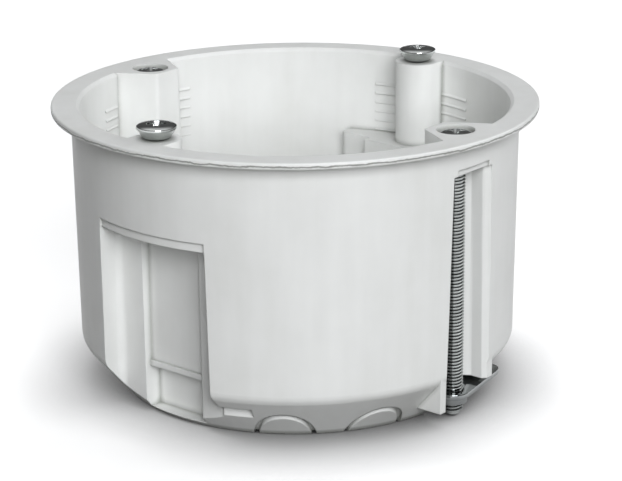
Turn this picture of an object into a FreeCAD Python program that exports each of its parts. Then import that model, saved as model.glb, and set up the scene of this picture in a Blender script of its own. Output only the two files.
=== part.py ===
# Round hollow-wall back box with two swing-out claws on long screws and two device screws.
# Frame: +Z up through the open mouth, origin at the middle of the bottom, X through the device
# screws, Y through the claw screws. Millimetres and degrees.
import FreeCAD, Part
import os
import Sketcher
from FreeCAD import Placement, Rotation, Vector

DIMENSIONS = {
    # Cup of the moulding
    "flange_dia": 73.0,
    "flange_thick": 1.0,
    "flange_round": 0.3,
    "box_height": 43.5,
    "body_dia": 67.2,
    "shoulder_dia": 66.2,
    "shoulder_height": 7.4,
    "shoulder_round": 2.2,
    "base_dia": 53.5,
    "base_round": 0.6,
    "wall": 1.4,
    "floor_thick": 1.5,
    "core_round": 1.2,
    "mouth_bevel": 0.5,
    # Posts at the mouth
    "device_spacing": 60.0,
    "claw_spacing": 60.0,
    "post_width": 6.8,
    "post_front": 3.4,
    "post_round": 3.2,
    # Claw channel in the outside of the wall: straight sides, then narrower to its back
    "slot_width": 7.4,
    "slot_knee": 30.2,
    "slot_back": 27.1,
    "slot_back_width": 3.8,
    "slot_drop": 5.6,
    "slot_draft": 1.3,
    "slot_flare": 0.8,
    "slot_ledge_high": 0.9,
    "post_wall": 0.85,
    "column_round": 0.6,
    "fin_thick": 2.6,
    "fin_root": 0.4,
    "stop_height": 2.5,
    "ledge_deep": 0.55,
    # Bay under the shoulder where the claw is parked
    "bay_height": 4.8,
    "bay_clearance": 0.3,
    "park_angle": 11.4,
    # Coupling recess in the outside of the wall: floor, deeper panel, deepest foot
    "recess_drop": 14.55,
    "recess_width": 20.4,
    "recess_floor": 28.1,
    "recess_draft": 0.6,
    "recess_round": 0.9,
    "recess_ledge_high": 1.35,
    "bulge_side": 3.0,
    "panel_width": 11.2,
    "panel_step": 1.5,
    "panel_lip_high": 0.9,
    "panel_lip_proud": 0.35,
    "foot_height": 7.2,
    "foot_step": 1.6,
    "base_lip": 0.8,
    # Notch in the lower corner, opening into the recess
    "notch_turn": 22.0,
    "notch_sweep": 12.5,
    "notch_floor": 29.9,
    "notch_top": 5.5,
    # Grip ridges inside the wall, beside the posts
    "ridge_drop": 5.5,
    "ridge_pitch": 1.5,
    "ridge_high": 1.0,
    "ridge_proud": 0.28,
    "ridge_root": 0.2,
    "device_ridge_turn": 11.0,
    "device_ridge_sweep": 11.0,
    "claw_ridge_turn": 14.2,
    "claw_ridge_sweep": 6.5,
    # Round knock-outs on the lower corner
    "knockout_dia": 7.6,
    "knockout_place": 26.1,
    "knockout_groove": 0.75,
    "knockout_deep": 0.5,
    "near_knockout_turn": 36.5,
    "far_knockout_turn": 64.4,
    # Claw screw
    "screw_dia": 3.0,
    "screw_fit": 0.05,
    "claw_head_dia": 5.0,
    "claw_head_high": 1.9,
    "claw_head_drop": 0.05,
    "head_dome": 0.5,
    "counterbore_dia": 5.6,
    "tip_height": 0.2,
    "tip_chamfer": 0.4,
    # Pressed claw
    "claw_thick": 0.8,
    "claw_gap": 0.8,
    "claw_hub_dia": 5.3,
    "claw_hub_round": 2.6,
    "claw_reach": 12.4,
    "claw_tip_width": 5.2,
    "claw_tip_round": 2.4,
    "collar_dia": 4.4,
    "collar_high": 1.0,
    # Device screw
    "device_head_dia": 5.8,
    "device_neck_dia": 4.0,
    "device_dome": 0.8,
    "device_cone": 1.2,
    "device_edge": 0.25,
    "device_length": 8.6,
    "device_backed_out": 0.1,
    "pilot_spare": 0.6,
    # Cross recess of the heads
    "cross_reach": 1.5,
    "cross_wide": 0.7,
    "cross_deep": 1.2,
    # Length by which a cutting sketch runs past what it cuts
    "over": 2.0,
}
RIDGE_COUNT = 6

doc = FreeCAD.newDocument("back_box_assembly")
sheet = doc.addObject("Spreadsheet::Sheet", "dim")
for row, (alias, size) in enumerate(DIMENSIONS.items(), start=1):
    sheet.set(f"A{row}", alias)
    sheet.set(f"B{row}", str(size))
    sheet.setAlias(f"B{row}", alias)
doc.recompute()

# Formulas that several features share
SLOPE = "atan(2 * dim.shoulder_height / (dim.shoulder_dia - dim.base_dia))"
CONE = f"dim.base_dia / 2 + dim.%s / tan({SLOPE})"
OUTSIDE = "dim.flange_dia / 2 + dim.over"
SLOT_TOP = "dim.box_height - dim.slot_drop"
SLOT_LEAN = "atan((dim.slot_width - dim.slot_back_width) / 2 / (dim.slot_knee - dim.slot_back))"
RECESS_TOP = "dim.box_height - dim.recess_drop"
PANEL_FLOOR = "dim.recess_floor - dim.panel_step"
FOOT_FLOOR = "dim.recess_floor - dim.panel_step - dim.foot_step"
CLAW_TOP = "dim.bay_height - dim.claw_gap"
HEAD_SEAT = "dim.box_height - dim.claw_head_drop - dim.claw_head_high"
FIT_DIA = "dim.screw_dia + 2 * dim.screw_fit"


def measure(formula):
    """Present value of a sheet formula as a plain number."""
    result = sheet.evalExpression(formula)
    return float(getattr(result, "Value", result))


def new_body(name):
    """Empty body whose label is the name of its node."""
    body = doc.addObject("PartDesign::Body", name)
    body.Label = name
    return body


def origin_feature(body, role):
    """Origin plane or axis of a body, by its role."""
    return next(item for item in body.Origin.OriginFeatures if item.Role == role)


def new_sketch(body, name, plane="XY_Plane", height="0", place=None, turn=None, about=Vector(0, 0, 1)):
    """Sketch on an origin plane, raised along its normal, moved along its second axis or turned."""
    sketch = body.newObject("Sketcher::SketchObject", name)
    sketch.AttachmentSupport = (origin_feature(body, plane), [""])
    sketch.MapMode = "FlatFace"
    sketch.AttachmentOffset = Placement(Vector(), Rotation(about, measure(turn or "0")))
    sketch.setExpression("AttachmentOffset.Base.z", height)
    if place:
        sketch.setExpression("AttachmentOffset.Base.y", place)
    if turn:
        sketch.setExpression("AttachmentOffset.Rotation.Angle", turn)
    return sketch


def hold(sketch, constraint, name, formula):
    """Add a measured constraint and bind it to a formula."""
    index = sketch.addConstraint(constraint)
    sketch.renameConstraint(index, name)
    sketch.setExpression(f"Constraints.{name}", formula)


def draw_loop(sketch, corners, rounds=None):
    """Closed outline through corners given as (across, up) formulas, some of them rounded."""
    points = [Vector(measure(across), measure(up), 0) for across, up in corners]
    count = len(points)
    first = sketch.GeometryCount
    for number in range(count):
        sketch.addGeometry(Part.LineSegment(points[number], points[(number + 1) % count]))
    for number in range(count):
        following = first + (number + 1) % count
        sketch.addConstraint(Sketcher.Constraint("Coincident", first + number, 2, following, 1))
    for number, (across, up) in enumerate(corners):
        line = first + number
        point = points[number]
        hold(sketch, Sketcher.Constraint("DistanceX", -1, 1, line, 1, point.x), f"across_{line}", across)
        hold(sketch, Sketcher.Constraint("DistanceY", -1, 1, line, 1, point.y), f"up_{line}", up)
    for number, radius in (rounds or {}).items():
        round_corner(sketch, first, count, number, points, radius)


def round_corner(sketch, first, count, number, points, radius):
    """Replace one corner of an outline by a tangent arc of a bound radius."""
    before = first + (number - 1) % count
    after = first + number
    near_before = (points[(number - 1) % count] + points[number]) * 0.5
    near_after = (points[(number + 1) % count] + points[number]) * 0.5
    arc = sketch.GeometryCount
    sketch.fillet(before, after, near_before, near_after, measure(radius), True, True)
    hold(sketch, Sketcher.Constraint("Radius", arc, measure(radius)), f"round_{arc}", radius)


def draw_circle(sketch, diameter, up="0", across="0"):
    """Circle of a bound diameter and centre."""
    centre = Vector(measure(across), measure(up), 0)
    circle = sketch.addGeometry(Part.Circle(centre, Vector(0, 0, 1), measure(diameter) / 2))
    hold(sketch, Sketcher.Constraint("Diameter", circle, measure(diameter)), f"dia_{circle}", diameter)
    hold(sketch, Sketcher.Constraint("DistanceX", -1, 1, circle, 3, centre.x), f"across_{circle}", across)
    hold(sketch, Sketcher.Constraint("DistanceY", -1, 1, circle, 3, centre.y), f"up_{circle}", up)


def volume_of(body):
    """Volume of a body as built so far."""
    doc.recompute()
    return body.Shape.Volume


def revolve(body, name, sketch):
    """Full turn of a section about the Z axis."""
    feature = body.newObject("PartDesign::Revolution", name)
    feature.Profile = sketch
    feature.ReferenceAxis = (sketch, ["V_Axis"])
    feature.Angle = 360
    return feature


def pad_up(body, name, sketch, length):
    """Raise a sketch along its normal."""
    feature = body.newObject("PartDesign::Pad", name)
    feature.Profile = sketch
    feature.setExpression("Length", length)
    return feature


def cut_down(body, name, sketch, depth=None, draft=None):
    """Cut a sketch downwards, to a depth or right through, and see that it removed something."""
    before = volume_of(body)
    feature = body.newObject("PartDesign::Pocket", name)
    feature.Profile = sketch
    if depth:
        feature.setExpression("Length", depth)
    else:
        feature.Type = "ThroughAll"
    if draft:
        feature.setExpression("TaperAngle", draft)
    if volume_of(body) >= before:
        raise RuntimeError(f"{name} cuts nothing")
    return feature


def cut_round(body, name, sketch, sweep):
    """Cut a section round the Z axis, half of the sweep to each side, and see that it removed something."""
    before = volume_of(body)
    feature = body.newObject("PartDesign::Groove", name)
    feature.Profile = sketch
    feature.ReferenceAxis = (sketch, ["V_Axis"])
    feature.Midplane = True
    feature.setExpression("Angle", sweep)
    if volume_of(body) >= before:
        raise RuntimeError(f"{name} cuts nothing")
    return feature


def repeat_opposite(body, name, features):
    """Second set of features, half a turn round the Z axis."""
    pattern = body.newObject("PartDesign::PolarPattern", name)
    pattern.Originals = features
    pattern.Axis = (origin_feature(body, "Z_Axis"), [""])
    pattern.Angle = 360
    pattern.Occurrences = 2
    body.Tip = pattern
    doc.recompute()
    return pattern


def rectangle(half_width, near, far):
    """Corners of a block across the Y axis, on its negative side."""
    return [
        (f"-({half_width})", f"-({far})"),
        (half_width, f"-({far})"),
        (half_width, f"-({near})"),
        (f"-({half_width})", f"-({near})"),
    ]


def side_rectangle(half_width, near, far):
    """Corners of a block across the X axis, on its negative side."""
    return [
        (f"-({far})", f"-({half_width})"),
        (f"-({near})", f"-({half_width})"),
        (f"-({near})", half_width),
        (f"-({far})", half_width),
    ]


def parked_rectangle(margin):
    """Corners of the bay round the parked claw, along the claw's own line, grown by a margin."""
    reach = f"dim.claw_reach + dim.bay_clearance + {margin}"
    inner = f"dim.claw_hub_dia / 2 + dim.bay_clearance + {margin}"
    outer = "dim.flange_dia / 4"
    return [("0", f"-({outer})"), (reach, f"-({outer})"), (reach, inner), ("0", inner)]


def channel_plan(margin):
    """Corners of the claw channel: its narrowing inner part grown by a margin and run on to the outside."""
    front = f"dim.slot_back - {margin}"
    front_half = f"dim.slot_back_width / 2 + {margin} * (1 - sin({SLOT_LEAN})) / cos({SLOT_LEAN})"
    run = f"({OUTSIDE} - dim.slot_back) * sin({SLOT_LEAN})"
    far_half = f"dim.slot_back_width / 2 + ({margin} + {run}) / cos({SLOT_LEAN})"
    return [
        (f"-({far_half})", f"-({OUTSIDE})"),
        (far_half, f"-({OUTSIDE})"),
        (front_half, f"-({front})"),
        (f"-({front_half})", f"-({front})"),
    ]


def ridge_section(sketch):
    """Saw-tooth sections one above the other, each with a level underside."""
    root = "dim.body_dia / 2 - dim.wall + dim.ridge_root"
    crest = "dim.body_dia / 2 - dim.wall - dim.ridge_proud"
    for number in range(RIDGE_COUNT):
        low = f"dim.box_height - dim.ridge_drop - {number} * dim.ridge_pitch"
        draw_loop(sketch, [(crest, low), (root, low), (root, f"{low} + dim.ridge_high")])


def notch_section(body, name, margin):
    """Section of the notch under the shoulder, beside a recess, grown by a margin."""
    sketch = new_sketch(body, name, "XZ_Plane", turn="dim.notch_turn", about=Vector(0, 1, 0))
    floor = f"-(dim.notch_floor - {margin})"
    top = f"dim.notch_top + {margin}"
    draw_loop(sketch, [(f"-({OUTSIDE})", "0"), (floor, "0"), (floor, top), (f"-({OUTSIDE})", top)])
    return sketch


def moulding_core():
    """Inside space of the cup, less the posts, channels and bulges that stand into it."""
    body = new_body("moulding_core")
    section = new_sketch(body, "core_section", "XZ_Plane")
    base = f"dim.base_dia / 2 + dim.floor_thick / tan({SLOPE}) - dim.wall / sin({SLOPE})"
    shoulder_rise = f"(dim.wall / sin({SLOPE}) - dim.wall) * tan({SLOPE})"
    mouth = "dim.body_dia / 2 - dim.wall"
    draw_loop(section, [
        ("0", "dim.floor_thick"),
        (base, "dim.floor_thick"),
        ("dim.shoulder_dia / 2 - dim.wall", f"dim.shoulder_height + {shoulder_rise}"),
        (mouth, "dim.box_height - dim.mouth_bevel"),
        (f"{mouth} + dim.mouth_bevel", "dim.box_height"),
        (f"{mouth} + dim.mouth_bevel", "dim.box_height + dim.over"),
        ("0", "dim.box_height + dim.over"),
    ], {1: "dim.core_round", 2: "dim.core_round"})
    revolve(body, "core_turn", section)

    above = "dim.box_height + dim.over"
    column = new_sketch(body, "column_plan", height=above)
    draw_loop(column, channel_plan("dim.post_wall"), {2: "dim.column_round", 3: "dim.column_round"})
    columns = cut_down(body, "column_space", column, f"{above} + dim.over", "dim.slot_draft")

    post = new_sketch(body, "post_plan", height=above)
    post_front = "dim.device_spacing / 2 - dim.post_front"
    draw_loop(post, side_rectangle("dim.post_width / 2", post_front, OUTSIDE),
              {1: "dim.post_round", 2: "dim.post_round"})
    posts = cut_down(body, "post_space", post, "dim.recess_drop + dim.over")

    bulge_top = f"{RECESS_TOP} + dim.wall"
    bulge = new_sketch(body, "bulge_plan", height=bulge_top)
    bulge_half = "dim.recess_width / 2 + dim.bulge_side"
    draw_loop(bulge, side_rectangle(bulge_half, "dim.recess_floor - dim.wall", OUTSIDE),
              {1: "dim.core_round", 2: "dim.core_round"})
    bulges = cut_down(body, "bulge_space", bulge, f"{bulge_top} + dim.over", "dim.recess_draft")

    panel = new_sketch(body, "panel_bulge_plan", height=bulge_top)
    panel_half = "dim.panel_width / 2 + dim.wall"
    draw_loop(panel, side_rectangle(panel_half, f"{PANEL_FLOOR} - dim.wall", OUTSIDE))
    panels = cut_down(body, "panel_bulge_space", panel)

    foot = new_sketch(body, "foot_bulge_plan", height="dim.foot_height + dim.wall")
    draw_loop(foot, side_rectangle(panel_half, f"{FOOT_FLOOR} - dim.wall", OUTSIDE))
    feet = cut_down(body, "foot_bulge_space", foot)

    bay = new_sketch(body, "bay_bulge_plan", height="dim.bay_height + dim.wall",
                     place="-dim.claw_spacing / 2", turn="dim.park_angle")
    draw_loop(bay, parked_rectangle("dim.wall"), {2: "dim.core_round"})
    bays = cut_down(body, "bay_bulge_space", bay)

    notch = notch_section(body, "notch_bulge_section", "dim.wall")
    notch_margin = "2 * dim.wall / dim.notch_floor * 180 / pi"
    notches = cut_round(body, "notch_bulge", notch, f"dim.notch_sweep + {notch_margin}")

    ridges = []
    for name, plane in (("device_ridge", "XZ_Plane"), ("claw_ridge", "YZ_Plane")):
        for side, axis in (("left", Vector(0, 1, 0)), ("right", Vector(0, -1, 0))):
            teeth = new_sketch(body, f"{side}_{name}_section", plane, turn=f"dim.{name}_turn", about=axis)
            ridge_section(teeth)
            ridges.append(cut_round(body, f"{side}_{name}", teeth, f"dim.{name}_sweep"))

    repeat_opposite(body, "core_opposite", [columns, posts, bulges, panels, feet, bays, notches] + ridges)
    return body


def knockout_rings():
    """Ring grooves of the round knock-outs, as deep as the bevelled lower corner lets them follow it."""
    bottom = new_body("groove_bottom")
    section = new_sketch(bottom, "groove_section", "XZ_Plane")
    inset = f"dim.knockout_deep / sin({SLOPE})"
    base = f"dim.base_dia / 2 + dim.knockout_deep / tan({SLOPE}) - {inset}"
    draw_loop(section, [
        ("0", "dim.knockout_deep"),
        (base, "dim.knockout_deep"),
        (f"dim.shoulder_dia / 2 - {inset}", "dim.shoulder_height"),
        ("0", "dim.shoulder_height"),
    ])
    revolve(bottom, "groove_turn", section)

    body = new_body("knockout_rings")
    rings = []
    for name, turn in (("near_ring", "dim.near_knockout_turn"), ("far_ring", "dim.far_knockout_turn")):
        plan = new_sketch(body, f"{name}_plan", height="-dim.over", turn=turn)
        draw_circle(plan, "dim.knockout_dia", across="dim.knockout_place")
        draw_circle(plan, "dim.knockout_dia + 2 * dim.knockout_groove", across="dim.knockout_place")
        rings.append(pad_up(body, name, plan, "dim.shoulder_height"))
    repeat_opposite(body, "opposite_rings", rings)
    trim = body.newObject("PartDesign::Boolean", "groove_trim")
    trim.setObjects([bottom])
    trim.Type = "Cut"
    return body


def back_box(core, rings):
    """The moulding: turned outside form, hollowed by the core, with fins, channels, recesses and holes."""
    body = new_body("back_box")
    section = new_sketch(body, "outside_section", "XZ_Plane")
    draw_loop(section, [
        ("0", "0"),
        ("dim.base_dia / 2", "0"),
        ("dim.shoulder_dia / 2", "dim.shoulder_height"),
        ("dim.body_dia / 2", "dim.box_height - dim.flange_thick"),
        ("dim.flange_dia / 2", "dim.box_height - dim.flange_thick"),
        ("dim.flange_dia / 2", "dim.box_height"),
        ("0", "dim.box_height"),
    ], {1: "dim.base_round", 2: "dim.shoulder_round", 4: "dim.flange_round", 5: "dim.flange_round"})
    revolve(body, "outside_turn", section)

    hollow = body.newObject("PartDesign::Boolean", "hollow")
    hollow.setObjects([core, rings])
    hollow.Type = "Cut"

    fins = []
    fin_half = "dim.slot_width / 2 + dim.fin_thick"
    fin_face = f"sqrt((dim.shoulder_dia / 2)^2 - ({fin_half})^2)"
    fin_top = "dim.shoulder_height + dim.shoulder_round / 2"
    fin_starts = (("stop_fin", "stop_height", f"-({fin_half})"), ("bay_fin", "bay_height", "0"))
    for name, height, start in fin_starts:
        section = new_sketch(body, f"{name}_section", "YZ_Plane", height=start)
        fin_back = f"sqrt(({CONE % height})^2 - ({fin_half})^2) - dim.fin_root"
        draw_loop(section, [
            (f"-({fin_face})", f"dim.{height}"),
            (f"-({fin_back})", f"dim.{height}"),
            (f"-({fin_face} - dim.fin_root)", fin_top),
            (f"-({fin_face})", fin_top),
        ])
        fins.append(pad_up(body, name, section, fin_half))

    slot = new_sketch(body, "slot_plan", height=SLOT_TOP)
    slot_half = "dim.slot_width / 2"
    back_half = "dim.slot_back_width / 2"
    mouth_half = f"{slot_half} + dim.slot_flare"
    mouth = f"sqrt(((dim.body_dia + dim.shoulder_dia) / 4)^2 - ({mouth_half})^2)"
    draw_loop(slot, [
        (f"-({mouth_half})", f"-({OUTSIDE})"),
        (mouth_half, f"-({OUTSIDE})"),
        (mouth_half, f"-({mouth})"),
        (slot_half, f"-({mouth} - dim.slot_flare)"),
        (slot_half, "-dim.slot_knee"),
        (back_half, "-dim.slot_back"),
        (f"-({back_half})", "-dim.slot_back"),
        (f"-({slot_half})", "-dim.slot_knee"),
        (f"-({slot_half})", f"-({mouth} - dim.slot_flare)"),
        (f"-({mouth_half})", f"-({mouth})"),
    ], {3: "dim.slot_flare", 8: "dim.slot_flare"})
    slots = cut_down(body, "claw_slot", slot, f"{SLOT_TOP} + dim.over", "dim.slot_draft")

    slot_ledge = new_sketch(body, "slot_ledge_plan", height=f"{SLOT_TOP} + dim.slot_ledge_high")
    draw_loop(slot_ledge, rectangle(slot_half, "dim.body_dia / 2 - dim.ledge_deep", OUTSIDE))
    slot_ledges = cut_down(body, "slot_ledge", slot_ledge, "dim.slot_ledge_high + dim.over")

    bay = new_sketch(body, "bay_plan", height="dim.bay_height",
                     place="-dim.claw_spacing / 2", turn="dim.park_angle")
    draw_loop(bay, parked_rectangle("0"), {2: "dim.claw_tip_round"})
    bays = cut_down(body, "claw_bay", bay)

    recess_deep = f"{RECESS_TOP} - dim.base_lip"
    recess = new_sketch(body, "recess_plan", height=RECESS_TOP)
    draw_loop(recess, side_rectangle("dim.recess_width / 2", "dim.recess_floor", "dim.body_dia / 2"),
              {1: "dim.recess_round", 2: "dim.recess_round"})
    recesses = cut_down(body, "coupling_recess", recess, recess_deep, "dim.recess_draft")

    recess_ledge = new_sketch(body, "recess_ledge_section", "XZ_Plane")
    ledge_floor = "dim.body_dia / 2 - dim.ledge_deep"
    ledge_top = f"{RECESS_TOP} + dim.recess_ledge_high"
    draw_loop(recess_ledge, [
        (f"-({OUTSIDE})", f"{RECESS_TOP} - dim.over"),
        (f"-({ledge_floor})", f"{RECESS_TOP} - dim.over"),
        (f"-({ledge_floor})", ledge_top),
        (f"-({OUTSIDE})", ledge_top),
    ])
    ledge_sweep = "2 * asin(dim.recess_width / dim.body_dia)"
    recess_ledges = cut_round(body, "recess_ledge", recess_ledge, ledge_sweep)

    panel = new_sketch(body, "panel_plan", height=RECESS_TOP)
    panel_half = "dim.panel_width / 2"
    draw_loop(panel, side_rectangle(panel_half, PANEL_FLOOR, OUTSIDE))
    panels = cut_down(body, "recess_panel", panel, f"{RECESS_TOP} - dim.foot_height - dim.panel_lip_high")

    panel_lip = new_sketch(body, "panel_lip_plan", height="dim.foot_height + dim.panel_lip_high")
    draw_loop(panel_lip, side_rectangle(panel_half, f"{PANEL_FLOOR} + dim.panel_lip_proud", OUTSIDE))
    panel_lips = cut_down(body, "panel_lip", panel_lip, "dim.panel_lip_high")

    foot = new_sketch(body, "foot_plan", height="dim.foot_height")
    draw_loop(foot, side_rectangle(panel_half, FOOT_FLOOR, OUTSIDE))
    feet = cut_down(body, "recess_foot", foot, "dim.foot_height - dim.base_lip")

    notch = notch_section(body, "notch_section", "0")
    notches = cut_round(body, "notch", notch, "dim.notch_sweep")

    claw_hole = new_sketch(body, "claw_hole_plan", height="dim.box_height")
    draw_circle(claw_hole, FIT_DIA, up="-dim.claw_spacing / 2")
    claw_holes = cut_down(body, "claw_screw_hole", claw_hole, "dim.slot_drop + dim.over")

    sink = new_sketch(body, "counterbore_plan", height="dim.box_height")
    draw_circle(sink, "dim.counterbore_dia", up="-dim.claw_spacing / 2")
    sinks = cut_down(body, "counterbore", sink, f"dim.box_height - ({HEAD_SEAT})")

    pilot = new_sketch(body, "pilot_plan", height="dim.box_height")
    draw_circle(pilot, FIT_DIA, across="-dim.device_spacing / 2")
    pilots = cut_down(body, "pilot_hole", pilot, "dim.device_length + dim.device_cone + dim.pilot_spare")

    repeat_opposite(body, "opposite_side", fins + [
        slots, slot_ledges, bays, recesses, recess_ledges, panels, panel_lips, feet, notches,
        claw_holes, sinks, pilots])
    return body


def cut_cross(body, name, top):
    """Cross recess for a driver, sunk in a head from its top."""
    plan = new_sketch(body, f"{name}_plan", height=top)
    arm = "dim.cross_reach"
    half = "dim.cross_wide / 2"
    draw_loop(plan, [
        (arm, f"-({half})"), (arm, half), (half, half), (half, arm),
        (f"-({half})", arm), (f"-({half})", half), (f"-{arm}", half), (f"-{arm}", f"-({half})"),
        (f"-({half})", f"-({half})"), (f"-({half})", f"-{arm}"), (half, f"-{arm}"), (half, f"-({half})"),
    ])
    cut_down(body, name, plan, "dim.cross_deep")


def claw_screw(name, side):
    """Long machine screw with a raised head, hanging in its post."""
    body = new_body(name)
    section = new_sketch(body, f"{name}_section", "XZ_Plane")
    head_top = f"{HEAD_SEAT} + dim.claw_head_high"
    draw_loop(section, [
        ("0", "dim.tip_height"),
        ("dim.screw_dia / 2 - dim.tip_chamfer", "dim.tip_height"),
        ("dim.screw_dia / 2", "dim.tip_height + dim.tip_chamfer"),
        ("dim.screw_dia / 2", HEAD_SEAT),
        ("dim.claw_head_dia / 2", HEAD_SEAT),
        ("dim.claw_head_dia / 2", f"{head_top} - dim.head_dome"),
        ("0", head_top),
    ], {5: "dim.head_dome"})
    revolve(body, f"{name}_turn", section)
    cut_cross(body, f"{name}_cross", head_top)
    body.setExpression("Placement.Base.y", f"{side}dim.claw_spacing / 2")
    return body


def claw(name, side, facing):
    """Pressed steel claw, parked under the shoulder with its arm along the box's side."""
    body = new_body(name)
    plate = new_sketch(body, f"{name}_plan")
    hub = "dim.claw_hub_dia / 2"
    tip = "dim.claw_tip_width / 2"
    draw_loop(plate, [
        (f"-({hub})", f"-({hub})"),
        ("dim.claw_reach", f"-({tip})"),
        ("dim.claw_reach", tip),
        (f"-({hub})", hub),
    ], {0: "dim.claw_hub_round", 1: "dim.claw_tip_round", 2: "dim.claw_tip_round", 3: "dim.claw_hub_round"})
    pad_up(body, f"{name}_plate", plate, "dim.claw_thick")
    collar = new_sketch(body, f"{name}_collar_plan", height="-dim.collar_high")
    draw_circle(collar, "dim.collar_dia")
    pad_up(body, f"{name}_collar", collar, "dim.collar_high + dim.claw_thick / 2")
    hole = new_sketch(body, f"{name}_hole_plan", height="dim.claw_thick")
    draw_circle(hole, FIT_DIA)
    cut_down(body, f"{name}_hole", hole)
    body.Placement = Placement(Vector(), Rotation(Vector(0, 0, 1), measure(facing)))
    body.setExpression("Placement.Rotation.Angle", facing)
    body.setExpression("Placement.Base.y", f"{side}dim.claw_spacing / 2")
    body.setExpression("Placement.Base.z", f"{CLAW_TOP} - dim.claw_thick")
    return body


def device_screw(name, side):
    """Short raised countersunk screw, backed out of its post."""
    body = new_body(name)
    section = new_sketch(body, f"{name}_section", "XZ_Plane")
    neck = "dim.box_height + dim.device_backed_out"
    edge = f"{neck} + dim.device_cone"
    rim = f"{edge} + dim.device_edge"
    tip = f"{neck} - dim.device_length"
    draw_loop(section, [
        ("0", tip),
        ("dim.screw_dia / 2 - dim.tip_chamfer", tip),
        ("dim.screw_dia / 2", f"{tip} + dim.tip_chamfer"),
        ("dim.screw_dia / 2", neck),
        ("dim.device_neck_dia / 2", neck),
        ("dim.device_head_dia / 2", edge),
        ("dim.device_head_dia / 2", rim),
        ("dim.device_head_dia / 4", f"{rim} + dim.device_dome * 3 / 4"),
        ("0", f"{rim} + dim.device_dome"),
    ], {7: "dim.device_head_dia / 2"})
    revolve(body, f"{name}_turn", section)
    cut_cross(body, f"{name}_cross", f"{rim} + dim.device_dome")
    body.setExpression("Placement.Base.x", f"{side}dim.device_spacing / 2")
    return body


def export(bodies):
    """Check every object, then write each sub-part to its own file."""
    doc.recompute()
    for item in doc.Objects:
        if {"Invalid", "Error"} & set(item.State):
            raise RuntimeError(f"{item.Label} failed: {item.State}")
    for body in bodies:
        if body.Shape.isNull() or not body.Shape.isValid() or len(body.Shape.Solids) != 1:
            raise RuntimeError(f"{body.Label} is not one sound solid")
    os.makedirs("parts", exist_ok=True)
    for body in bodies:
        body.Shape.exportStep(f"parts/{body.Label}.step")
        print(body.Label, round(body.Shape.Volume, 2), body.Shape.BoundBox)


moulding = back_box(moulding_core(), knockout_rings())
export([
    moulding,
    claw_screw("front_claw_screw", "-"),
    claw_screw("rear_claw_screw", ""),
    claw("front_claw", "-", "dim.park_angle"),
    claw("rear_claw", "", "dim.park_angle + 180"),
    device_screw("left_device_screw", "-"),
    device_screw("right_device_screw", ""),
])
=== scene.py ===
# Looks of a white drywall back box: moulded cup, zinc-plated claw screws, claws and device screws.
import math

import bmesh
import bpy
from mathutils import Matrix, Vector


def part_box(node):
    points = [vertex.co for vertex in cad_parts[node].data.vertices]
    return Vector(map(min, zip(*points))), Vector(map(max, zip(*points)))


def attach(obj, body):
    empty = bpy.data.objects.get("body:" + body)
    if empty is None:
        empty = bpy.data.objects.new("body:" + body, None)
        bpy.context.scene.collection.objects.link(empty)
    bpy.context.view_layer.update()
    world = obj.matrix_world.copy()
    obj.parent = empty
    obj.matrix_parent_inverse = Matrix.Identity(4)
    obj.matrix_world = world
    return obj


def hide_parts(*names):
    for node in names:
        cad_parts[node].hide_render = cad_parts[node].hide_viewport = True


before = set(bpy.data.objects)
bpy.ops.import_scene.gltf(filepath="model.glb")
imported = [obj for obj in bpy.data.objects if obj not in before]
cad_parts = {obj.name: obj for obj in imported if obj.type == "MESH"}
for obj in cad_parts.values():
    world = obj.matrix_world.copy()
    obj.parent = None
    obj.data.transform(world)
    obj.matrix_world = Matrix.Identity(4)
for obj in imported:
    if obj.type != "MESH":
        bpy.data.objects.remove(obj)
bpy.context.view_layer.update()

# Sizes of the screws and claws in millimetres
MM = 0.001
THREAD_PITCH = 0.5
THREAD_DEPTH = 0.3
THREAD_STEPS = 20
SCREW_RADIUS = 1.5
TIP_RADIUS = 1.15
TIP_END_RADIUS = 0.85
TIP_STEPS = 24
HEAD_STEPS = 64
CLAW_HEAD_HIGH = 1.8
CLAW_RECESS_DEEP = 1.25
DEVICE_HEAD_HIGH = 2.15
DEVICE_CROWN = 0.5
DEVICE_RECESS_DEEP = 1.5
CROSS_REACH = 1.55
CROSS_HALF_WIDE = 0.42
CROSS_OVERCUT = 0.3
CROSS_TURN = math.radians(41)
CLAW_ROLLED_EDGE = 0.14
CLAW_GRAIN_TURN = math.radians(11.4)
SMOOTH_UP_TO = math.radians(32)

# Tones of the finishes, each with its place in the pattern
PLASTIC_TONES = ((0.30, "#E2E3E0"), (0.52, "#E9EAE8"), (0.75, "#EFF0EE"))
# Painted shade: a dark ragged line along the flange's lower outer edge
PLASTIC_RIM_SHADE = "#70726C"
# Painted shade: grey in the sharp inner corners and under the flange
PLASTIC_CORNER_SHADE = "#A4A6A1"
SCREW_TONES = ((0.30, "#C2C5C4"), (0.55, "#D4D7D6"), (0.75, "#E2E4E3"))
CLAW_TONES = ((0.30, "#86898A"), (0.55, "#9A9D9D"), (0.75, "#ABAEAD"))
# Painted shade, with some grease, in the grooves of the zinc
ZINC_GROOVE_SHADE = "#4A4C4C"
TABLE_SEEN = "#E0E0E0"
TABLE_BOUNCE = "#3C3C38"
WHITE = "#FFFFFF"
LAMP_TINT = "#FCFDFF"

# Soft boxes: name, place in metres, side in metres, watts, seen in shiny parts
LAMPS = (
    ("key_softbox", (-0.575, -0.700, 0.443), 0.55, 9.6, True),
    ("right_softbox", (0.669, -0.550, 0.520), 0.5, 2.6, True),
    ("back_softbox", (0.380, 0.325, 0.886), 0.5, 2.7, False),
    ("rear_softbox", (0.446, 0.839, 0.130), 0.4, 6.0, False),
)
LAMP_AIM = Vector((0, 0, 0.02))
TABLE_HALF = 3.0
TABLE_GLOW = 0.50
ROOM_LIGHT = 0.055

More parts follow.
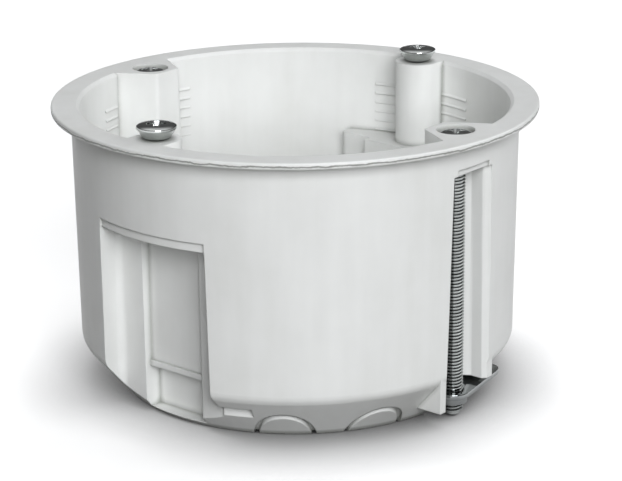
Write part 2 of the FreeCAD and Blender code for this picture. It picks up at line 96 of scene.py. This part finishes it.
# Camera that took the photo, in millimetres and degrees
CAMERA_PLACE = Vector((-260.63, -223.39, 131.00)) * MM
CAMERA_AIM = Vector((-3.29, -5.67, 22.87)) * MM
CAMERA_ROLL = math.radians(-0.454)
CAMERA_SENSOR = 36.0
CAMERA_LENS = 136.52


# Colours and nodes
def linear(code):
    """Linear colour of an sRGB hex code, with full alpha."""
    parts = [int(code[place:place + 2], 16) / 255 for place in (1, 3, 5)]
    return [part / 12.92 if part <= 0.04045 else ((part + 0.055) / 1.055) ** 2.4 for part in parts] + [1.0]


def add_node(tree, kind, settings=None, sockets=None, links=None, tones=()):
    """New node with its settings, plain socket values, links from other nodes and tones of its ramp."""
    node = tree.nodes.new(kind)
    for name, value in (settings or {}).items():
        setattr(node, name, value)
    for name, value in (sockets or {}).items():
        node.inputs[name].default_value = value
    for name, source in (links or {}).items():
        tree.links.new(source, node.inputs[name])
    for place, _ in tones[1:-1]:
        node.color_ramp.elements.new(place)
    for index, (place, code) in enumerate(tones):
        node.color_ramp.elements[index].position = place
        node.color_ramp.elements[index].color = linear(code)
    return node


def new_material(name):
    """Empty node material with its output."""
    material = bpy.data.materials.new(name)
    material.use_nodes = True
    tree = material.node_tree
    tree.nodes.clear()
    return material, tree, add_node(tree, "ShaderNodeOutputMaterial")


def moulded_polypropylene():
    """White polypropylene from the mould: satin and faintly cloudy, with soft flow marks and orange peel.

    A thin ragged dark line of painted shade runs round the lower outer edge of the flange, where its shadow
    line falls, and painted shade greys the sharp inner corners. The peel is drawn coarser than it is, so
    that it shows.
    """
    material, tree, output = new_material("moulded_polypropylene")
    place = add_node(tree, "ShaderNodeTexCoord").outputs["Object"]
    cloud = add_node(tree, "ShaderNodeTexNoise",
                     sockets={"Scale": 1 / (14 * MM), "Detail": 4.0, "Roughness": 0.55},
                     links={"Vector": place}).outputs["Fac"]
    drawn_up = add_node(tree, "ShaderNodeMapping", sockets={"Scale": (1.0, 1.0, 0.12)},
                        links={"Vector": place})
    flow = add_node(tree, "ShaderNodeTexNoise", sockets={"Scale": 1 / (2.6 * MM), "Detail": 3.0},
                    links={"Vector": drawn_up.outputs["Vector"]}).outputs["Fac"]
    peel = add_node(tree, "ShaderNodeTexNoise", sockets={"Scale": 1 / (0.7 * MM), "Detail": 2.0},
                    links={"Vector": place}).outputs["Fac"]
    ragged = add_node(tree, "ShaderNodeTexNoise",
                      sockets={"Scale": 1 / (3.5 * MM), "Detail": 6.0, "Roughness": 0.7},
                      links={"Vector": place}).outputs["Fac"]

    # Painted shade line: a dark ragged line near the widest radius, on the flange's lower outer edge, at a
    # height that wanders with the ragged noise
    axes = add_node(tree, "ShaderNodeSeparateXYZ", links={"Vector": place})
    across = add_node(tree, "ShaderNodeCombineXYZ", links={"X": axes.outputs["X"], "Y": axes.outputs["Y"]})
    radius = add_node(tree, "ShaderNodeVectorMath", {"operation": "LENGTH"},
                      links={0: across.outputs["Vector"]})
    at_edge = add_node(tree, "ShaderNodeMapRange", {"interpolation_type": "SMOOTHSTEP"},
                       {"From Min": 36.2 * MM, "From Max": 36.45 * MM}, {"Value": radius.outputs["Value"]})
    height = add_node(tree, "ShaderNodeMath", {"operation": "MULTIPLY_ADD"},
                      {1: 0.9 * MM, 2: 42.5 * MM}, {0: ragged})
    above = add_node(tree, "ShaderNodeMath", {"operation": "SUBTRACT"},
                     links={0: axes.outputs["Z"], 1: height.outputs[0]})
    away = add_node(tree, "ShaderNodeMath", {"operation": "ABSOLUTE"}, links={0: above.outputs[0]})
    line = add_node(tree, "ShaderNodeMapRange", {"interpolation_type": "SMOOTHSTEP"},
                    {"From Min": 0.18 * MM, "From Max": 0.04 * MM, "To Max": 0.85},
                    {"Value": away.outputs[0]})
    rim_shade_line = add_node(tree, "ShaderNodeMath", {"operation": "MULTIPLY"},
                     links={0: line.outputs["Result"], 1: at_edge.outputs["Result"]})

    # Colour: cloudy white, then the painted shade line at the flange's edge, then painted shade in the
    # inner corners
    mottle = add_node(tree, "ShaderNodeMix", {"data_type": "FLOAT"}, {"Factor": 0.35},
                      {"A": cloud, "B": flow})
    clean = add_node(tree, "ShaderNodeValToRGB", links={"Fac": mottle.outputs["Result"]},
                     tones=PLASTIC_TONES)
    # Painted shade line laid over the cloudy white at the flange's edge
    with_rim_shade = add_node(tree, "ShaderNodeMix", {"data_type": "RGBA"}, {"B": linear(PLASTIC_RIM_SHADE)},
                      {"Factor": rim_shade_line.outputs[0], "A": clean.outputs["Color"]})
    # Painted shade: ambient occlusion greys the colour in sharp inner corners and under the flange
    corner_shade = add_node(tree, "ShaderNodeAmbientOcclusion", {"samples": 8}, {"Distance": 1.1 * MM})
    open_part = add_node(tree, "ShaderNodeMapRange", sockets={"From Min": 0.35, "From Max": 0.9},
                         links={"Value": corner_shade.outputs["AO"]})
    colour = add_node(tree, "ShaderNodeMix", {"data_type": "RGBA"}, {"A": linear(PLASTIC_CORNER_SHADE)},
                      {"Factor": open_part.outputs["Result"], "B": with_rim_shade.outputs["Result"]})

    gloss = add_node(tree, "ShaderNodeMapRange", sockets={"To Min": 0.34, "To Max": 0.50},
                     links={"Value": flow})
    soft_edge = add_node(tree, "ShaderNodeBevel", {"samples": 6}, {"Radius": 0.22 * MM})
    relief = add_node(tree, "ShaderNodeMix", {"data_type": "FLOAT"}, {"Factor": 0.4},
                      {"A": flow, "B": peel})
    bump = add_node(tree, "ShaderNodeBump", sockets={"Strength": 0.22, "Distance": 0.05 * MM},
                    links={"Height": relief.outputs["Result"], "Normal": soft_edge.outputs["Normal"]})
    shader = add_node(tree, "ShaderNodeBsdfPrincipled",
                      sockets={"IOR": 1.49, "Subsurface Weight": 0.08,
                               "Subsurface Radius": (1.0, 1.0, 1.0), "Subsurface Scale": 0.6 * MM},
                      links={"Base Color": colour.outputs["Result"], "Roughness": gloss.outputs["Result"],
                             "Normal": bump.outputs["Normal"]})
    tree.links.new(shader.outputs["BSDF"], output.inputs["Surface"])
    return material


def zinc_plate(name, grain_mm, grain_turn, tones):
    """Bright zinc on steel: mirror-like silver with a cool tint, fine drawn grain and faint dull clouds.

    Grooves such as the thread are painted dark: painted shade, with some grease. The grain is drawn coarser
    than it is, so that it shows.
    """
    material, tree, output = new_material(name)
    place = add_node(tree, "ShaderNodeTexCoord").outputs["Object"]
    along = add_node(tree, "ShaderNodeMapping",
                     sockets={"Rotation": (0, 0, grain_turn), "Scale": (0.15, 1.0, 1.0)},
                     links={"Vector": place})
    grain = add_node(tree, "ShaderNodeTexNoise", sockets={"Scale": 1 / (grain_mm * MM), "Detail": 3.0},
                     links={"Vector": along.outputs["Vector"]}).outputs["Fac"]
    clouds = add_node(tree, "ShaderNodeTexNoise", sockets={"Scale": 1 / (2.5 * MM), "Detail": 3.0},
                      links={"Vector": place}).outputs["Fac"]
    clean = add_node(tree, "ShaderNodeValToRGB", links={"Fac": clouds}, tones=tones)
    # Painted shade, with some grease: ambient occlusion darkens the colour in grooves and recesses
    groove_shade = add_node(tree, "ShaderNodeAmbientOcclusion", {"samples": 8}, {"Distance": 0.4 * MM})
    open_part = add_node(tree, "ShaderNodeMapRange", sockets={"From Min": 0.45, "From Max": 0.95},
                         links={"Value": groove_shade.outputs["AO"]})
    colour = add_node(tree, "ShaderNodeMix", {"data_type": "RGBA"}, {"A": linear(ZINC_GROOVE_SHADE)},
                      {"Factor": open_part.outputs["Result"], "B": clean.outputs["Color"]})
    gloss = add_node(tree, "ShaderNodeMapRange", sockets={"To Min": 0.08, "To Max": 0.18},
                     links={"Value": clouds})
    bump = add_node(tree, "ShaderNodeBump", sockets={"Strength": 0.12, "Distance": 0.02 * MM},
                    links={"Height": grain})
    shader = add_node(tree, "ShaderNodeBsdfPrincipled", sockets={"Metallic": 1.0},
                      links={"Base Color": colour.outputs["Result"], "Roughness": gloss.outputs["Result"],
                             "Normal": bump.outputs["Normal"]})
    tree.links.new(shader.outputs["BSDF"], output.inputs["Surface"])
    return material


def pale_table():
    """Matt white table that the eye sees paler than the object does, with a painted contact shadow that
    greys it where the object stands close.
    """
    material, tree, output = new_material("pale_table")
    rays = add_node(tree, "ShaderNodeLightPath")
    seen = add_node(tree, "ShaderNodeMath", {"operation": "MAXIMUM"},
                    links={0: rays.outputs["Is Camera Ray"], 1: rays.outputs["Is Glossy Ray"]})
    eye = add_node(tree, "ShaderNodeMath", {"operation": "MAXIMUM"},
                   links={0: seen.outputs[0], 1: rays.outputs["Is Transmission Ray"]})
    # Painted contact shadow: ambient occlusion greys the table's colour and glow where the object stands
    # close
    painted_contact_shadow = add_node(tree, "ShaderNodeAmbientOcclusion", {"samples": 16},
                    {"Distance": 14 * MM, "Color": linear(TABLE_SEEN)})
    tone = add_node(tree, "ShaderNodeMix", {"data_type": "RGBA"}, {"A": linear(TABLE_BOUNCE)},
                    {"Factor": eye.outputs[0], "B": painted_contact_shadow.outputs["Color"]})
    matt = add_node(tree, "ShaderNodeBsdfDiffuse", links={"Color": tone.outputs["Result"]})
    paler = add_node(tree, "ShaderNodeMath", {"operation": "MULTIPLY"}, {1: TABLE_GLOW},
                     {0: painted_contact_shadow.outputs["AO"]})
    strength = add_node(tree, "ShaderNodeMath", {"operation": "MULTIPLY"},
                        links={0: paler.outputs[0], 1: eye.outputs[0]})
    glow = add_node(tree, "ShaderNodeEmission", sockets={"Color": linear(WHITE)},
                    links={"Strength": strength.outputs[0]})
    both = add_node(tree, "ShaderNodeAddShader",
                    links={0: matt.outputs["BSDF"], 1: glow.outputs["Emission"]})
    tree.links.new(both.outputs["Shader"], output.inputs["Surface"])
    return material


# Making of the pieces
def finish_piece(form, name, material, body, node):
    """Write a form in millimetres to a piece that stands for a node and moves with its body."""
    bmesh.ops.scale(form, vec=(MM, MM, MM), verts=form.verts)
    mesh = bpy.data.meshes.new(name)
    form.to_mesh(mesh)
    form.free()
    piece = bpy.data.objects.new(name, mesh)
    bpy.context.scene.collection.objects.link(piece)
    mesh.materials.append(material)
    mesh.shade_smooth()
    mesh.set_sharp_from_angle(angle=SMOOTH_UP_TO)
    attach(piece, body)
    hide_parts(node)


def turned(profile, steps):
    """Closed turned form from (radius, height) points about the Z axis."""
    form = bmesh.new()
    verts = [form.verts.new((radius, 0, height)) for radius, height in profile]
    edges = [form.edges.new(pair) for pair in zip(verts, verts[1:])]
    bmesh.ops.spin(form, geom=verts + edges, cent=(0, 0, 0), axis=(0, 0, 1), dvec=(0, 0, 0),
                   angle=math.tau, steps=steps, use_merge=True)
    bmesh.ops.remove_doubles(form, verts=form.verts, dist=1e-4)
    bmesh.ops.recalc_face_normals(form, faces=form.faces)
    return form


def thread(low, high):
    """Right-hand thread from low to high: one tooth of the pitch swept up its helix, both ends closed."""
    form = bmesh.new()
    turns = int((high - low) / THREAD_PITCH) - 1
    crest = SCREW_RADIUS
    root = crest - THREAD_DEPTH
    tooth = [(root, 0.0), (root, 0.08), (crest, 0.23), (crest, 0.29), (root, 0.44), (root, THREAD_PITCH)]
    verts = [form.verts.new((radius, 0, low + rise)) for radius, rise in tooth]
    edges = [form.edges.new(pair) for pair in zip(verts, verts[1:])]
    bmesh.ops.spin(form, geom=verts + edges, cent=(0, 0, 0), axis=(0, 0, 1),
                   dvec=(0, 0, THREAD_PITCH / THREAD_STEPS), angle=math.tau * turns,
                   steps=THREAD_STEPS * turns)
    bmesh.ops.remove_doubles(form, verts=form.verts, dist=1e-3)
    bmesh.ops.holes_fill(form, edges=[edge for edge in form.edges if edge.is_boundary], sides=0)
    bmesh.ops.recalc_face_normals(form, faces=form.faces)
    return form


def cross_tool(top, deep):
    """Tapered cross that a driver's tip leaves in a head."""
    tool = bmesh.new()
    middle = top - deep / 2
    for reach, wide in ((CROSS_REACH, CROSS_HALF_WIDE), (CROSS_HALF_WIDE, CROSS_REACH)):
        made = bmesh.ops.create_cube(tool, size=2.0)["verts"]
        bmesh.ops.scale(tool, vec=(reach, wide, deep / 2), verts=made)
        bmesh.ops.translate(tool, vec=(0, 0, middle + CROSS_OVERCUT), verts=made)
        lower = [vert for vert in made if vert.co.z < middle]
        bmesh.ops.scale(tool, vec=(0.5, 0.5, 1.0), verts=lower)
    return tool


def cut_recess(head, tool):
    """Take a tool's shape out of a head."""
    objects = []
    for name, form in (("head", head), ("tool", tool)):
        mesh = bpy.data.meshes.new(name)
        form.to_mesh(mesh)
        form.free()
        objects.append(bpy.data.objects.new(name, mesh))
        bpy.context.scene.collection.objects.link(objects[-1])
    cut = objects[0].modifiers.new("recess", "BOOLEAN")
    cut.object = objects[1]
    cut.operation = "DIFFERENCE"
    cut.solver = "EXACT"
    cut.use_self = True
    shown = objects[0].evaluated_get(bpy.context.evaluated_depsgraph_get())
    result = bpy.data.meshes.new_from_object(shown)
    shaped = bmesh.new()
    shaped.from_mesh(result)
    for item in objects:
        bpy.data.objects.remove(item)
    return shaped


def put_together(*forms):
    """One form that holds several."""
    whole = bmesh.new()
    for form in forms:
        mesh = bpy.data.meshes.new("form")
        form.to_mesh(mesh)
        form.free()
        whole.from_mesh(mesh)
        bpy.data.meshes.remove(mesh)
    return whole


def screw(name, node, body, place, profile, thread_top, recess_deep):
    """Screw with a thread down to its chamfered tip and a turned head with a cross recess."""
    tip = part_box(node)[0].z / MM
    shank = thread(tip + 0.35, thread_top)
    end = turned([(0, tip), (TIP_END_RADIUS, tip), (TIP_RADIUS, tip + 0.3), (TIP_RADIUS, tip + 1.2),
                  (0, tip + 1.2)], TIP_STEPS)
    crown = profile[-1][1]
    head = cut_recess(turned(profile, HEAD_STEPS), cross_tool(crown, recess_deep))
    whole = put_together(shank, end, head)
    turn = Matrix.Rotation(CROSS_TURN, 3, "Z")
    bmesh.ops.rotate(whole, cent=(0, 0, 0), matrix=turn, verts=whole.verts)
    bmesh.ops.translate(whole, vec=place, verts=whole.verts)
    finish_piece(whole, name, screw_zinc, body, node)


def claw_screw(name, node, body, place):
    """Long screw with a low raised head that sinks into its post."""
    low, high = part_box(node)
    top = high.z / MM
    seat = top - CLAW_HEAD_HIGH
    rim = (high.x - low.x) / 2 / MM
    profile = [(0, seat), (rim - 0.15, seat), (rim, seat + 0.15), (rim, top - 0.6),
               (rim - 0.06, top - 0.42), (rim - 0.3, top - 0.24), (rim - 0.8, top - 0.1),
               (1.0, top - 0.02), (0, top)]
    screw(name, node, body, place, profile, seat + 0.3, CLAW_RECESS_DEEP)


def device_screw(name, node, body, place):
    """Short screw with a raised countersunk head, its thread showing just under the head."""
    low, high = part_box(node)
    top = high.z / MM
    rim = top - DEVICE_CROWN
    neck = top - DEVICE_HEAD_HIGH
    edge = (high.x - low.x) / 2 / MM
    profile = [(0, neck), (1.9, neck), (2.0, neck + 0.08), (edge - 0.2, rim - 0.4),
               (edge - 0.05, rim - 0.28), (edge, rim - 0.1), (edge - 0.05, rim + 0.08),
               (edge - 0.3, rim + 0.24), (1.9, rim + 0.36), (1.0, rim + 0.46), (0, top)]
    screw(name, node, body, place, profile, neck + 0.5, DEVICE_RECESS_DEEP)


def pressed_claw(name, node, body):
    """Claw stamped from sheet: the node's form with the rolled-over edges of the press."""
    plate = bmesh.new()
    plate.from_mesh(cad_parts[node].data)
    bmesh.ops.scale(plate, vec=(1 / MM, 1 / MM, 1 / MM), verts=plate.verts)
    bmesh.ops.remove_doubles(plate, verts=plate.verts, dist=1e-3)
    bmesh.ops.dissolve_limit(plate, angle_limit=math.radians(1), verts=plate.verts, edges=plate.edges)
    sharp = [edge for edge in plate.edges
             if edge.is_manifold and edge.calc_face_angle() > math.radians(40)]
    bmesh.ops.bevel(plate, geom=sharp, offset=CLAW_ROLLED_EDGE, affect="EDGES", segments=2, profile=0.5,
                    material=-1, clamp_overlap=True)
    finish_piece(plate, name, claw_zinc, body, node)


# The object
screw_zinc = zinc_plate("zinc_plated_screw_steel", 0.25, 0.0, SCREW_TONES)
claw_zinc = zinc_plate("zinc_plated_sheet_steel", 0.18, CLAW_GRAIN_TURN, CLAW_TONES)
box_plastic = moulded_polypropylene()
for material_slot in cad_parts["back_box"].material_slots:
    material_slot.material = box_plastic

claw_screw("front_claw_screw_threaded", "front_claw_screw", "front_screw", (0, -30, 0))
claw_screw("rear_claw_screw_threaded", "rear_claw_screw", "rear_screw", (0, 30, 0))
device_screw("left_device_screw_threaded", "left_device_screw", "left_fixing", (-30, 0, 0))
device_screw("right_device_screw_threaded", "right_device_screw", "right_fixing", (30, 0, 0))
pressed_claw("front_claw_pressed", "front_claw", "front_claw_body")
pressed_claw("rear_claw_pressed", "rear_claw", "rear_claw_body")

# Table
top_plate = bmesh.new()
bmesh.ops.create_grid(top_plate, x_segments=1, y_segments=1, size=TABLE_HALF)
table_mesh = bpy.data.meshes.new("table")
top_plate.to_mesh(table_mesh)
top_plate.free()
table = bpy.data.objects.new("table", table_mesh)
bpy.context.scene.collection.objects.link(table)
table_mesh.materials.append(pale_table())

# Soft boxes that face the object
for lamp_name, lamp_place, side, watts, mirrored in LAMPS:
    light = bpy.data.lights.new(lamp_name, "AREA")
    light.shape = "SQUARE"
    light.size = side
    light.energy = watts
    light.color = linear(LAMP_TINT)[:3]
    holder = bpy.data.objects.new(lamp_name, light)
    bpy.context.scene.collection.objects.link(holder)
    holder.location = lamp_place
    holder.visible_glossy = mirrored
    holder.rotation_mode = "QUATERNION"
    holder.rotation_quaternion = (LAMP_AIM - Vector(lamp_place)).to_track_quat("-Z", "Y")

# Room: white to the eye, dim to the object, with a pale ceiling over a dark horizon in the metal
world = bpy.data.worlds.new("studio")
bpy.context.scene.world = world
world.use_nodes = True
room = world.node_tree
room.nodes.clear()
rays = add_node(room, "ShaderNodeLightPath")
way = add_node(room, "ShaderNodeTexCoord").outputs["Generated"]
upward = add_node(room, "ShaderNodeSeparateXYZ", links={"Vector": way})
ceiling = add_node(room, "ShaderNodeMapRange", {"interpolation_type": "SMOOTHSTEP"},
                   {"From Min": 0.50, "From Max": 0.95, "To Min": 0.09, "To Max": 0.80},
                   {"Value": upward.outputs["Z"]})
in_metal = add_node(room, "ShaderNodeMix", {"data_type": "FLOAT"}, {"A": ROOM_LIGHT},
                    {"Factor": rays.outputs["Is Glossy Ray"], "B": ceiling.outputs["Result"]})
to_eye = add_node(room, "ShaderNodeMath", {"operation": "MAXIMUM"},
                  links={0: rays.outputs["Is Camera Ray"], 1: rays.outputs["Is Transmission Ray"]})
room_strength = add_node(room, "ShaderNodeMix", {"data_type": "FLOAT"}, {"B": 1.0},
                         {"Factor": to_eye.outputs[0], "A": in_metal.outputs["Result"]})
walls = add_node(room, "ShaderNodeBackground", sockets={"Color": linear(WHITE)},
                 links={"Strength": room_strength.outputs["Result"]})
add_node(room, "ShaderNodeOutputWorld", links={"Surface": walls.outputs["Background"]})

# Camera at the photo's angle
lens = bpy.data.cameras.new("photo_camera")
lens.sensor_fit = "HORIZONTAL"
lens.sensor_width = CAMERA_SENSOR
lens.lens = CAMERA_LENS
lens.clip_start = 0.01
camera = bpy.data.objects.new("photo_camera", lens)
bpy.context.scene.collection.objects.link(camera)
camera.location = CAMERA_PLACE
camera.rotation_mode = "QUATERNION"
aimed = (CAMERA_AIM - CAMERA_PLACE).to_track_quat("-Z", "Y")
camera.rotation_quaternion = aimed @ Matrix.Rotation(CAMERA_ROLL, 3, "Z").to_quaternion()
bpy.context.scene.camera = camera
bpy.context.scene.view_settings.view_transform = "Standard"
